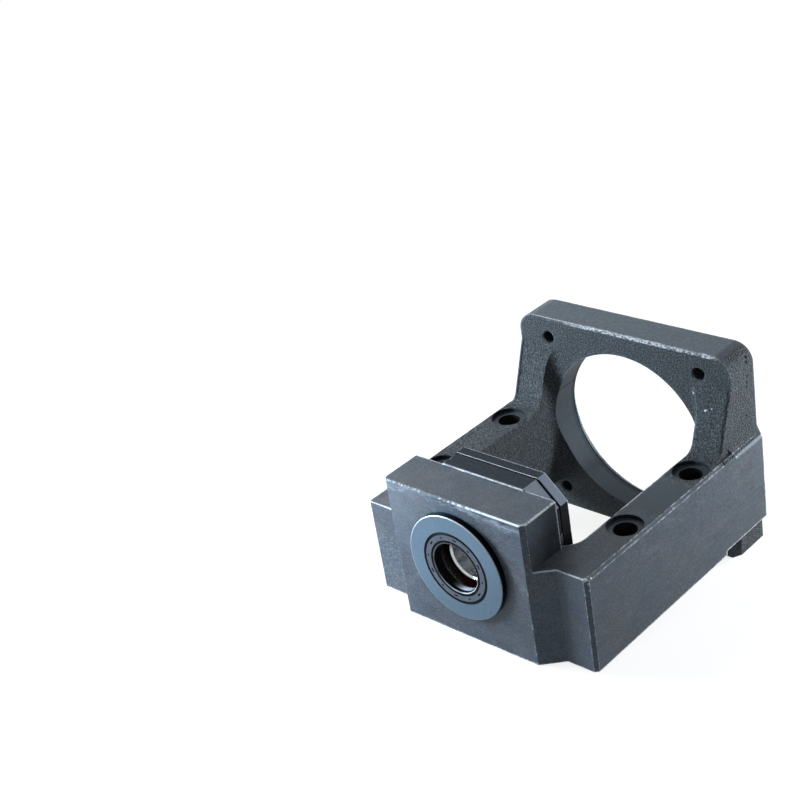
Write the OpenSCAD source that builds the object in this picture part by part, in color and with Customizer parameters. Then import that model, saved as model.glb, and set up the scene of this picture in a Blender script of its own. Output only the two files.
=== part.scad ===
// Ball screw end support, fixed side, cast in one piece with its motor bracket.
//
// A duplex pair of angular contact bearings carries the end of a ball screw in
// the front block. Two tall side rails run back from the block to the motor
// plate, and the bay between them holds the shaft coupling.
//
// The origin is on the screw axis, in the plane of the rails' front faces.
// +Y runs along the screw towards the motor, and +Z is up.

/* [Base] */
// Width over the two side rails
base_w = 150; // [147:0.5:165]
// Length of the rails, from their front faces to the motor face
base_l = 161; // [150:1:190]
// Height of the rails
rail_h = 57.5; // [52:0.5:64]
// Thickness of each rail
rail_w = 22.5; // [21.5:0.25:24]
// Height of the screw axis above the base face
axis_h = 47; // [45:0.5:50]
// Length of the relief under the rails, from the motor face
relief_l = 41; // [30:1:48]
// Depth of the relief under the rails
relief_h = 2.5; // [1:0.25:5]
// Chamfer along the rails' outer top edges
rail_chamfer = 1.5; // [0.5:0.25:2]
// Chamfer on the rails' outer front corners
corner_chamfer = 2; // [0.5:0.25:4]

/* [Base bolts] */
// Distance from each rail's outer side to its bolt centres
bolt_inset = 12; // [11:0.25:12.25]
// Distance between bolt centres along the base
bolt_span_y = 60; // [45:1:70]
// Distance from the rails' front faces to the first bolts
bolt_first_y = 49; // [40:1:52]
// Diameter of the bolt holes
bolt_hole_d = 13; // [9:0.5:14]
// Diameter of the spot faces
spotface_d = 20; // [17:0.5:21]
// Depth of the spot faces
spotface_depth = 2.5; // [1:0.25:5]

/* [Bearing block] */
// Width of the front face
nose_w = 90; // [84:0.5:93]
// How far the front face stands ahead of the rails
nose_l = 10.5; // [8:0.25:12]
// Width over the slanted flanks where they meet the rails
nose_root_w = 112.5; // [106:0.5:118]
// Width of the block above the rails
block_w = 95; // [94:0.5:100]
// Length of the block behind the rails' front faces
block_back = 16; // [12:0.5:20]
// Height of the block's top above the screw axis
block_top = 39.2; // [38.8:0.1:39.6]
// Width and height of the octagonal boss behind the block
boss_w = 80; // [80:0.5:84]
// Corner chamfer of the boss and the cover
boss_chamfer = 13; // [8:0.25:16]
// Fillet between the block and the rails, inside the bay
bay_fillet = 14; // [8:0.5:16]
// Edge break along the top of the block
edge_break = 0.8; // [0.3:0.1:1.5]

/* [Motor plate] */
// Width of the motor plate
plate_w = 143.5; // [138:0.5:146]
// Height of the motor plate, centred on the screw axis
plate_h = 128; // [124:0.5:136]
// Thickness of the motor plate
plate_t = 22; // [18:0.5:26]
// Radius of the plate's upper corners
plate_corner_r = 11; // [6:0.5:16]
// Width of the slanted lower corners of the plate
plate_foot_w = 6.5; // [2:0.5:9]
// Height of the slanted lower corners of the plate
plate_foot_h = 4.5; // [2:0.5:9]
// Diameter of the window through the plate
window_d = 101; // [90:0.5:103]
// Diameter of the motor pilot
pilot_d = 110; // [105:0.5:114]
// Depth of the motor pilot
pilot_depth = 6; // [4:0.5:8]
// Pitch circle of the motor screws
motor_pcd = 145; // [142:0.5:148]
// Diameter of the motor screw holes
motor_hole_d = 6.8; // [5:0.1:8.5]
// Countersink diameter of the motor screw holes
motor_sink_d = 8.6; // [8.5:0.1:10]
// Height of the webs' tops above the screw axis
web_top = 46.5; // [36:0.5:46.5]
// How far the webs' feet reach ahead of the plate
web_run = 14; // [8:0.5:18]
// Fillet at the webs' feet
web_fillet = 8; // [4:0.5:12]
// Cast fillet between the plate and the rails
cast_fillet = 8; // [4:0.5:12]
// Rise of the cast blend from the rail tops to the plate's sides
blend_rise = 3.5; // [1:0.5:6]

/* [Bearings] */
// Bore of the bearings, and diameter of the screw journal
bearing_bore = 25; // [24:0.5:26]
// Outer diameter of the bearings
bearing_od = 52; // [50:0.5:54]
// Width of one bearing
bearing_w = 15; // [14:0.25:16]
// Distance from the block's front face to the first bearing
bearing_setback = 7.5; // [7:0.25:9]
// Diameter of the balls
ball_d = 7.9; // [7:0.1:8.2]
// Number of balls in each bearing
ball_count = 12; // [9:1:13]
// Chamfer on the bearing rings
ring_chamfer = 1; // [0.4:0.1:1.4]

/* [Seal holder] */
// Outer diameter of the flange
flange_d = 62.5; // [56:0.5:70]
// Thickness of the flange
flange_t = 3.8; // [3:0.1:6]
// Diameter of the spigot that fits the block
spigot_d = 48; // [46:0.5:49]
// Width of the front seal
seal_w = 7; // [6:0.25:7.5]
// Diameter over both seals
seal_od = 42; // [40:0.5:43]
// Diameter inside the front seal's lip
front_lip_d = 29.2; // [27:0.1:30]
// Number of moulded notches in each seal face
notch_count = 12; // [6:1:16]

/* [Cover and collar] */
// Thickness of the cover
cover_t = 6.4; // [5.8:0.1:8]
// How far the cover stands out over the boss
cover_proud = 0.3; // [0:0.1:1]
// Clamping gap between the boss and the cover
clamp_gap = 0.5; // [0.2:0.05:0.8]
// Pitch circle of the cover screws
cover_pcd = 70; // [67:0.5:73]
// Thread diameter of the cover screws
cover_screw_d = 5; // [4:0.5:5.5]
// Length of the cover screws
cover_screw_l = 14; // [11:0.5:15]
// Width of the rear seal
rear_seal_w = 5; // [4:0.25:5.2]
// Outer diameter of the collar
collar_d = 32; // [30:0.5:33]
// Length of the collar behind the bearings
collar_l = 11; // [9:0.5:16]

/* [Hidden] */
$fn = 96;
cut = 1;                 // overshoot of cutting bodies
running_gap = 0.05;      // radial clearance of running fits
thread_gap = 0.05;       // radial clearance of a screw in its hole

cast_black = [0.27, 0.30, 0.33];
holder_blue = [0.47, 0.58, 0.68];
seal_grey = [0.38, 0.40, 0.44];
bearing_steel = [0.78, 0.79, 0.80];
cage_brown = [0.36, 0.14, 0.10];
screw_black = [0.16, 0.17, 0.19];

// Levels measured from the screw axis
base_z = -axis_h;
rail_z = base_z + rail_h;
block_z = block_top;
plate_top_z = plate_h / 2;
plate_foot_z = -plate_h / 2;

// Stations along the screw
front_y = -nose_l;
bearing_y = front_y + bearing_setback;
cover_y = bearing_y + 2 * bearing_w;
boss_y = cover_y - clamp_gap;
plate_y = base_l - plate_t;
holder_y = front_y - flange_t;

// Places across the base
rail_out_x = base_w / 2;
rail_in_x = rail_out_x - rail_w;
plate_x = plate_w / 2;
blend_run = web_run / 2;
bolt_x = rail_out_x - bolt_inset;
bolt_ys = [bolt_first_y, bolt_first_y + bolt_span_y];

// Bearing section
pitch_r = (bearing_bore + bearing_od) / 4;
ball_r = ball_d / 2;
race_r = ball_r + running_gap;
inner_land_r = pitch_r - 0.6 * ball_r;
inner_low_r = pitch_r - 0.85 * ball_r;
outer_land_r = pitch_r + 0.6 * ball_r;
outer_low_r = pitch_r + 0.85 * ball_r;
cage_in_r = inner_land_r + 0.6;
cage_out_r = outer_land_r - 0.2;
cage_w = 0.8 * bearing_w;
pocket_gap = 0.12;

// Seats in the block
shoulder_t = 2.5;
shoulder_r = bearing_od / 2 - 3.5;
spigot_l = bearing_setback - shoulder_t - 0.2;
holder_lip_r = seal_od / 2 - 2;
notch_turn = 22;

// Cover screws, countersunk with a hexagon socket
screw_head_d = 1.9 * cover_screw_d;
screw_cone_l = (screw_head_d - cover_screw_d) / 2;
screw_rim_l = 0.3;
socket_af = 0.6 * cover_screw_d;
socket_depth = 0.4 * cover_screw_d;
cover_hole_d = cover_screw_d + 0.5;
tap_depth = cover_screw_l + 2;

// ---------------------------------------------------------------- helpers

// Turns a body drawn up the Z axis so that it runs along +Y from y
module along_screw(y) {
    translate([0, y, 0]) rotate([-90, 0, 0]) children();
}

// Extrudes a side view, drawn as [y, z], across X from x0 to x1
module across(x0, x1) {
    translate([x0, 0, 0]) rotate([90, 0, 90]) linear_extrude(x1 - x0) children();
}

// Extrudes a front view, drawn as [x, z], along Y from y0 to y1
module lengthwise(y0, y1) {
    translate([0, y1, 0]) rotate([90, 0, 0]) linear_extrude(y1 - y0) children();
}

// Both sides of something drawn on the +X side
module both_sides() {
    children();
    mirror([1, 0, 0]) children();
}

// Area between a square corner at the origin, opening to -X and -Y, and a fillet
module corner_area(r) {
    difference() {
        translate([-r, -r]) square(r);
        translate([-r, -r]) circle(r);
    }
}

// Octagon shared by the boss and the cover
module octagon(proud = 0) {
    h = boss_w / 2 + proud;
    k = h - boss_chamfer;
    polygon([[h, -k], [h, k], [k, h], [-k, h], [-h, k], [-h, -k], [-k, -h], [k, -h]]);
}

// Places children on the four corners of the pitch circle
module at_corners(pcd) {
    for (a = [45 : 90 : 315]) translate([pcd / 2 * cos(a), 0, pcd / 2 * sin(a)]) children();
}

// ---------------------------------------------------------------- bracket

module base_plan() {
    r = rail_out_x;
    difference() {
        polygon([
            [-r, corner_chamfer], [-r + corner_chamfer, 0], [-nose_root_w / 2, 0],
            [-nose_w / 2, front_y], [nose_w / 2, front_y], [nose_root_w / 2, 0],
            [r - corner_chamfer, 0], [r, corner_chamfer], [r, base_l], [-r, base_l]
        ]);
        difference() {
            translate([-rail_in_x, block_back]) square([2 * rail_in_x, base_l]);
            both_sides() translate([rail_in_x, block_back]) mirror([0, 1]) corner_area(bay_fillet);
        }
    }
}

module rails() {
    difference() {
        translate([0, 0, base_z]) linear_extrude(rail_h) base_plan();
        both_sides() {
            lengthwise(-cut, base_l + cut) translate([rail_out_x, rail_z])
                polygon([[-rail_chamfer, 0], [0, -rail_chamfer], [cut, 0], [0, cut]]);
            translate([rail_in_x - cut, base_l - relief_l, base_z - cut])
                cube([rail_w + 2 * cut, relief_l + cut, relief_h + cut]);
            translate([0, 0, rail_z - blend_rise]) linear_extrude(blend_rise + cut)
                blend_plan(plate_x, rail_out_x + cut, base_l + cut);
        }
    }
}

// Plan of the cast slope beside the plate, with its slanted front end
module blend_plan(x0, x1, y1) {
    y0 = plate_y - blend_run;
    polygon([[x0, y0], [plate_x, y0], [x1, y0 + x1 - plate_x], [x1, y1], [x0, y1]]);
}

// Cast slope from the rail's outer edge up to the plate's side
module side_blend() {
    intersection() {
        lengthwise(plate_y - blend_run, base_l) polygon([
            [plate_x - cut, rail_z + blend_rise], [plate_x, rail_z + blend_rise],
            [rail_out_x, rail_z - blend_rise], [plate_x - cut, rail_z - blend_rise]
        ]);
        translate([0, 0, rail_z - blend_rise]) linear_extrude(2 * blend_rise)
            blend_plan(plate_x - cut, rail_out_x + cut, base_l);
    }
}

module bearing_block() {
    w = block_w / 2;
    b = edge_break;
    low_z = rail_z - 5;
    intersection() {
        translate([0, 0, low_z]) linear_extrude(block_z - low_z) polygon([
            [-nose_root_w / 2, 0], [-nose_w / 2, front_y], [nose_w / 2, front_y],
            [nose_root_w / 2, 0], [nose_root_w / 2, block_back], [-nose_root_w / 2, block_back]
        ]);
        lengthwise(front_y - cut, block_back + cut) polygon([
            [-w, base_z], [-w, block_z - b], [-w + b, block_z],
            [w - b, block_z], [w, block_z - b], [w, base_z]
        ]);
        across(-w - cut, w + cut) polygon([
            [front_y, base_z], [front_y, block_z - b], [front_y + b, block_z],
            [block_back, block_z], [block_back, base_z]
        ]);
    }
    lengthwise(block_back - cut, boss_y) octagon();
}

module plate_view() {
    x = plate_x - plate_foot_w;
    z = plate_foot_z + plate_foot_h;
    difference() {
        polygon([
            [-x, plate_foot_z], [x, plate_foot_z], [plate_x, z],
            [plate_x, plate_top_z], [-plate_x, plate_top_z], [-plate_x, z]
        ]);
        both_sides() translate([plate_x, plate_top_z]) corner_area(plate_corner_r);
    }
}

// Side view of a rail with its web, without the fillet at the foot
module web_view() {
    polygon([
        [plate_y - web_run, base_z + relief_h], [plate_y - web_run, rail_z],
        [plate_y, web_top], [plate_y + cut, web_top], [plate_y + cut, base_z + relief_h]
    ]);
}

// Fillet that blends the web's slope into the rail's top
module web_foot_view() {
    slope = atan2(web_top - rail_z, web_run);
    reach = web_fillet * tan(slope / 2);
    foot = [plate_y - web_run, rail_z];
    centre = foot + [-reach, web_fillet];
    difference() {
        polygon([foot - [reach, 0], foot, foot + reach * [cos(slope), sin(slope)], centre]);
        translate(centre) circle(web_fillet);
    }
}

module webs() {
    both_sides() {
        across(rail_in_x, plate_x) {
            web_view();
            web_foot_view();
        }
        intersection() {
            translate([rail_in_x, plate_y, base_z]) linear_extrude(web_top - base_z)
                corner_area(cast_fillet);
            across(rail_in_x - cast_fillet, rail_in_x) web_view();
        }
    }
}

module bearing_seats() {
    along_screw(bearing_y) cylinder(d = bearing_od, h = boss_y - bearing_y + cut);
    along_screw(bearing_y - shoulder_t - cut) cylinder(r = shoulder_r, h = shoulder_t + 2 * cut);
    along_screw(front_y - cut) cylinder(d = spigot_d, h = bearing_setback - shoulder_t + cut);
}

module motor_holes() {
    sink = (motor_sink_d - motor_hole_d) / 2;
    along_screw(plate_y - cast_fillet - cut)
        cylinder(d = window_d, h = plate_t + cast_fillet + 2 * cut);
    along_screw(base_l - pilot_depth) cylinder(d = pilot_d, h = pilot_depth + cut);
    at_corners(motor_pcd) {
        along_screw(plate_y - cut) cylinder(d = motor_hole_d, h = plate_t + 2 * cut);
        along_screw(plate_y) cylinder(d1 = motor_sink_d, d2 = motor_hole_d, h = sink);
        along_screw(base_l - sink) cylinder(d1 = motor_hole_d, d2 = motor_sink_d, h = sink);
    }
}

module base_holes() {
    for (x = [-bolt_x, bolt_x], y = bolt_ys) translate([x, y, 0]) {
        translate([0, 0, base_z - cut]) cylinder(d = bolt_hole_d, h = rail_h + 2 * cut);
        translate([0, 0, rail_z - spotface_depth]) cylinder(d = spotface_d, h = spotface_depth + cut);
    }
}

module cover_taps() {
    at_corners(cover_pcd) along_screw(cover_y + cover_t - tap_depth)
        cylinder(r = cover_screw_d / 2 + thread_gap, h = tap_depth);
}

module bracket() {
    color(cast_black) difference() {
        union() {
            rails();
            bearing_block();
            lengthwise(plate_y, base_l) plate_view();
            webs();
            both_sides() side_blend();
        }
        bearing_seats();
        motor_holes();
        base_holes();
        cover_taps();
    }
}

// ------------------------------------------------------------ seal holder

module seal_holder() {
    color(holder_blue) along_screw(holder_y) rotate_extrude() {
        r = flange_d / 2;
        c = 0.4;
        seal_r = seal_od / 2;
        inner_l = seal_w + 0.1;
        tip = flange_t + spigot_l;
        polygon([
            [seal_r, 0], [r - c, 0], [r, c], [r, flange_t], [spigot_d / 2, flange_t],
            [spigot_d / 2, tip], [holder_lip_r, tip], [holder_lip_r, inner_l], [seal_r, inner_l]
        ]);
    }
}

// ------------------------------------------------------------------ seals

// Section of a lip seal as [radius, depth behind its face]
module seal_section(lip_r, w) {
    r = seal_od / 2;
    face_t = 0.24 * w;
    rim_r = lip_r + 1;
    groove_r = rim_r + 0.5;
    spring = seal_spring(lip_r, w);
    difference() {
        polygon([
            [r, 0.5], [r - 0.5, 0], [groove_r, 0], [groove_r, 0.13 * w], [rim_r, 0.13 * w],
            [rim_r, 0], [rim_r - 0.5, 0], [lip_r, 0.5], [lip_r, 0.76 * w],
            [lip_r + 0.8, 0.92 * w], [spring[0] + 0.3, 0.92 * w], [spring[0], 0.62 * w],
            [rim_r + 0.2, face_t + 0.1 * w], [groove_r + 0.6, face_t], [r - 1.8, face_t],
            [r - 1.8, w], [r, w]
        ]);
        translate([spring[0], spring[1]]) circle(spring[2] + 0.02);
    }
}

// Radius, depth and wire radius of the garter spring
function seal_spring(lip_r, w) = [lip_r + 0.26 * w, 0.74 * w, 0.1 * w];

// Moulded notches round the seal's face
module seal_notches(lip_r, w) {
    groove_r = lip_r + 1.5;
    mid_r = (groove_r + seal_od / 2 - 0.5) / 2;
    pitch = 360 / notch_count;
    for (i = [0 : notch_count - 1]) rotate(i * pitch - notch_turn)
        translate([mid_r, 0, 0]) cube([0.9, i % 2 == 0 ? 2.6 : 1.2, 0.16 * w], center = true);
}

module lip_seal(lip_r, w) {
    difference() {
        rotate_extrude() seal_section(lip_r, w);
        seal_notches(lip_r, w);
    }
}

module garter_spring(lip_r, w) {
    spring = seal_spring(lip_r, w);
    rotate_extrude() translate([spring[0], spring[1]]) circle(spring[2], $fn = 32);
}

module front_seal() {
    color(seal_grey) along_screw(holder_y) lip_seal(front_lip_d / 2, seal_w);
}

module front_seal_spring() {
    color(bearing_steel) along_screw(holder_y) garter_spring(front_lip_d / 2, seal_w);
}

// The rear seal faces the motor, and its lip runs on the collar
module at_rear_seal() {
    translate([0, cover_y + cover_t, 0]) rotate([90, 0, 0]) children();
}

module rear_seal() {
    color(seal_grey) at_rear_seal() lip_seal(collar_d / 2 + running_gap, rear_seal_w);
}

module rear_seal_spring() {
    color(bearing_steel) at_rear_seal() garter_spring(collar_d / 2 + running_gap, rear_seal_w);
}

// --------------------------------------------------------------- bearings

// The front bearing is drawn, and the rear one is its mirror image, so that
// the low shoulders of the outer rings meet: a face-to-face pair
module front_place() {
    along_screw(bearing_y) children();
}

module rear_place() {
    along_screw(cover_y) mirror([0, 0, 1]) children();
}

module ring_with_race(points) {
    rotate_extrude() difference() {
        polygon(points);
        translate([pitch_r, bearing_w / 2]) circle(race_r);
    }
}

module inner_ring() {
    r = bearing_bore / 2;
    c = ring_chamfer;
    w = bearing_w;
    ring_with_race([
        [r + c, 0], [inner_low_r, 0], [inner_low_r, w / 2], [inner_land_r, w / 2],
        [inner_land_r, w], [r + c, w], [r, w - c], [r, c]
    ]);
}

module outer_ring() {
    r = bearing_od / 2;
    c = ring_chamfer;
    w = bearing_w;
    ring_with_race([
        [outer_land_r, 0], [r - c, 0], [r, c], [r, w - c], [r - c, w],
        [outer_low_r, w], [outer_low_r, w / 2], [outer_land_r, w / 2]
    ]);
}

module balls() {
    for (i = [0 : ball_count - 1]) rotate(i * 360 / ball_count)
        translate([pitch_r, 0, bearing_w / 2]) sphere(ball_r, $fn = 48);
}

module cage() {
    difference() {
        translate([0, 0, (bearing_w - cage_w) / 2]) difference() {
            cylinder(r = cage_out_r, h = cage_w);
            translate([0, 0, -cut]) cylinder(r = cage_in_r, h = cage_w + 2 * cut);
        }
        for (i = [0 : ball_count - 1]) rotate(i * 360 / ball_count)
            translate([cage_in_r - cut, 0, bearing_w / 2]) rotate([0, 90, 0])
                cylinder(r = ball_r + pocket_gap, h = cage_out_r - cage_in_r + 2 * cut);
    }
}

module front_outer_ring() { color(bearing_steel) front_place() outer_ring(); }
module front_inner_ring() { color(bearing_steel) front_place() inner_ring(); }
module front_balls() { color(bearing_steel) front_place() balls(); }
module front_cage() { color(cage_brown) front_place() cage(); }
module rear_outer_ring() { color(bearing_steel) rear_place() outer_ring(); }
module rear_inner_ring() { color(bearing_steel) rear_place() inner_ring(); }
module rear_balls() { color(bearing_steel) rear_place() balls(); }
module rear_cage() { color(cage_brown) rear_place() cage(); }

// ------------------------------------------------------- cover and collar

module cover_sinks() {
    at_corners(cover_pcd) along_screw(cover_y) {
        translate([0, 0, -cut]) cylinder(d = cover_hole_d, h = cover_t + 2 * cut);
        translate([0, 0, cover_t - screw_rim_l - screw_cone_l])
            cylinder(d1 = cover_screw_d, d2 = screw_head_d, h = screw_cone_l);
        translate([0, 0, cover_t - screw_rim_l]) cylinder(d = screw_head_d + 0.2, h = screw_rim_l + cut);
    }
}

module rear_cover() {
    color(cast_black) difference() {
        lengthwise(cover_y, cover_y + cover_t) octagon(cover_proud);
        along_screw(cover_y - cut) cylinder(r = holder_lip_r, h = cover_t + 2 * cut);
        along_screw(cover_y + cover_t - rear_seal_w - 0.1) cylinder(d = seal_od, h = rear_seal_w + cut);
        cover_sinks();
    }
}

module rear_collar() {
    color(bearing_steel) along_screw(cover_y) rotate_extrude() {
        r0 = bearing_bore / 2;
        r1 = collar_d / 2;
        c = 0.6;
        polygon([
            [r0 + c, 0], [r1 - c, 0], [r1, c], [r1, collar_l - c], [r1 - c, collar_l],
            [r0 + c, collar_l], [r0, collar_l - c], [r0, c]
        ]);
    }
}

module cover_screw() {
    difference() {
        union() {
            cylinder(d = cover_screw_d, h = cover_screw_l);
            translate([0, 0, cover_screw_l - screw_rim_l - screw_cone_l])
                cylinder(d1 = cover_screw_d, d2 = screw_head_d, h = screw_cone_l);
            translate([0, 0, cover_screw_l - screw_rim_l]) cylinder(d = screw_head_d, h = screw_rim_l);
        }
        translate([0, 0, cover_screw_l - socket_depth])
            cylinder(d = socket_af / cos(30), h = socket_depth + cut, $fn = 6);
    }
}

module cover_screws() {
    color(screw_black) at_corners(cover_pcd)
        along_screw(cover_y + cover_t - cover_screw_l) cover_screw();
}

// --------------------------------------------------------------- assembly

bracket();
seal_holder();
front_seal();
front_seal_spring();
front_outer_ring();
front_inner_ring();
front_balls();
front_cage();
rear_outer_ring();
rear_inner_ring();
rear_balls();
rear_cage();
rear_cover();
rear_seal();
rear_seal_spring();
rear_collar();
cover_screws();
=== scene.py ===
import math

import bpy
from mathutils import Matrix, Vector

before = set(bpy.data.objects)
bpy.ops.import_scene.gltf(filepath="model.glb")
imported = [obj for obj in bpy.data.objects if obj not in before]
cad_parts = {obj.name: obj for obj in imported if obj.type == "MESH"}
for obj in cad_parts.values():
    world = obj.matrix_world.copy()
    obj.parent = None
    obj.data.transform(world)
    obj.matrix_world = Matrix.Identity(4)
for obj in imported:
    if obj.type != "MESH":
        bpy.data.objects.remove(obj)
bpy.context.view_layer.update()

# Dresses the ball screw end support with node materials, and adds the floor, the lamps and the camera.
# The shapes are all the part's own. Along y runs the screw's axis, from the nose to the motor, and z is up.

MM = 0.001

# Stations along the axis, as the part's source has them
HOLDER_Y = -14.3 * MM  # front of the seal holder
NOSE_Y = -10.5 * MM  # front of the bearing block
BLOCK_BACK_Y = 16 * MM  # rear of the block, where the boss begins
COVER_Y = 27 * MM  # front of the cover, just behind the boss
WEB_Y = 119 * MM  # front foot of the webs, with their fillets
WINDOW_Y = 128.5 * MM  # where the window cuts into the webs
PLATE_Y = 139 * MM  # front of the motor plate
PILOT_Y = 155 * MM  # floor of the recess for the motor's pilot
BOLT_YS = (49 * MM, 109 * MM)

# Heights above the axis
RAIL_Z = 10.5 * MM
BLOCK_Z = 39.2 * MM
BOSS_Z = 40 * MM
PLATE_TOP_Z = 64 * MM

# Distances to the left and right of the axis
BLOCK_X = 47.5 * MM
RAIL_IN_X = 52.5 * MM
BOLT_X = 63 * MM
PLATE_X = 71.75 * MM
RAIL_OUT_X = 75 * MM
MOTOR_HOLE = 51.27 * MM  # and as far above and below the axis

# Radii and chamfers
SPOT_R = 10 * MM
HOLDER_FACE_IN_R = 21.7 * MM  # the holder's face is blued outside this
HOLDER_R = 31.25 * MM
WINDOW_R = 50.5 * MM
PILOT_REACH = 60 * MM  # a little past the recess
MOTOR_HOLE_R = 4.1 * MM  # reaches into the countersink
LIP_R = 14.95 * MM
GROOVE_R = 15.8 * MM
SEAL_FACE_IN_R = 16.8 * MM
SEAL_FACE_OUT_R = 19.8 * MM
RAIL_CHAMFER = 1.5 * MM
CORNER_CHAMFER = 2 * MM

# Where the finish changes
RAIL_SKIN_FROM = 40 * MM  # cast skin fades in over this stretch of the left rail's top
RAIL_SKIN_FULL = 58 * MM
RIGHT_LATER = 44 * MM  # and this much further back on the right rail
WEB_SIDE_Y = 124 * MM  # the rail's chamfer is cast beside the webs
GROUND_FROM_Y = 67 * MM
GROUND_TO_Y = 93 * MM
BAND_Y = 152 * MM  # the window's wall is rougher behind this
BOSS_SPARED_Y = 25 * MM  # the boss's rear edge shows no wear
# Where the painted shade along the webs' outer edges stops
WEB_SHADE_TOP_Z = 42 * MM


def srgb(r, g, b):
    """A colour as a picture shows it, from 0 to 255, as the linear colour that a shader takes."""
    def linear(c):
        c /= 255
        return c / 12.92 if c <= 0.04045 else ((c + 0.055) / 1.055) ** 2.4
    return (linear(r), linear(g), linear(b), 1.0)


# The tint of the gloss on the casting, the flange and the cover
BLUED = (0.72, 0.88, 1.0, 1)

# Casting
MACHINED = srgb(75, 84, 95)
MACHINED_WARM = srgb(84, 88, 95)
SPECK = srgb(120, 130, 140)
CAST = srgb(64, 68, 71)
CAST_LOW = srgb(30, 32, 34)
CAST_HIGH = srgb(104, 108, 112)
GROUND_PATCH = srgb(68, 77, 84)
PLATE_TOP = srgb(84, 96, 105)
BORE_WALL = srgb(54, 59, 64)
BORE_BAND = srgb(38, 42, 46)
SPOT_WALL_SHADE = srgb(26, 28, 31)
SPOT_FLOOR = srgb(62, 68, 74)
# Painted shade: the black of corners, slots, gaps, unlit walls and holes
SHADE_BLACK = srgb(14, 15, 17)
BARE_EDGE = srgb(228, 232, 238)
# Rubbed metal, and also the painted sheen on the nose
RUB_AND_SHEEN = srgb(160, 170, 184)

# Boss and cover: sides black with painted shade, bevels with a painted highlight on the right and painted
# shade on the left
BOSS_TOP = srgb(42, 46, 52)
BOSS_SIDE_SHADE = srgb(10, 11, 13)
BOSS_BEVEL_HIGHLIGHT = srgb(150, 158, 170)
COVER_BEVEL_HIGHLIGHT = srgb(150, 160, 177)
LEFT_BEVEL_SHADE = srgb(84, 91, 101)
COVER_BACK = srgb(52, 58, 66)

# Seal holder and seals
RING_DEEP = srgb(82, 102, 118)
RING_PALE = srgb(94, 113, 128)
RING_BLACK = srgb(7, 8, 10)
# Worn rim, and the painted highlight along it
RING_WEAR_AND_HIGHLIGHT = srgb(206, 218, 228)
SEAL_FACE = srgb(86, 92, 104)
SEAL_DUST = srgb(112, 118, 128)
SEAL_BLACK = srgb(5, 5, 6)
LIP_EDGE = srgb(190, 197, 206)
# Painted highlight on the seal's case in the bore
CASE_HIGHLIGHT = srgb(196, 208, 224)

# Bearings and screws
STEEL_DARK = srgb(168, 171, 175)
STEEL_PALE = srgb(200, 203, 206)
PHENOLIC_DARK = srgb(70, 12, 8)
PHENOLIC_PALE = srgb(138, 46, 26)
SCREW_DARK = srgb(22, 23, 26)
SCREW_PALE = srgb(46, 48, 52)
SCREW_WORN = srgb(150, 154, 158)

# Blow holes in the right side of the plate, and chips: place and radius in mm
PITS = (
    (70.5, 156, 58, 1.0), (71.4, 155, 55.7, 1.1), (71.75, 154.5, 47.6, 0.9),
    (71.75, 153.6, 44.2, 0.9), (71.75, 153.1, 41.8, 0.8), (71.75, 151.4, 24.3, 0.8),
)
CHIPS = (
    (57.6, 133.8, 33.1, 0.6), (58.6, 134, 33.5, 0.4), (61.6, 134.4, 34.7, 0.4),
    (74.6, 4.2, 9.4, 0.7), (73.6, 0.8, 9.9, 1.1), (72.4, 0.2, 10.3, 0.7),
    (74.6, 1.8, 7.5, 0.6), (74.7, 1.9, 3.5, 0.5), (73.2, 0.1, 1.0, 0.5),
)


# ------------------------------------------------------------ shader builder

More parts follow.
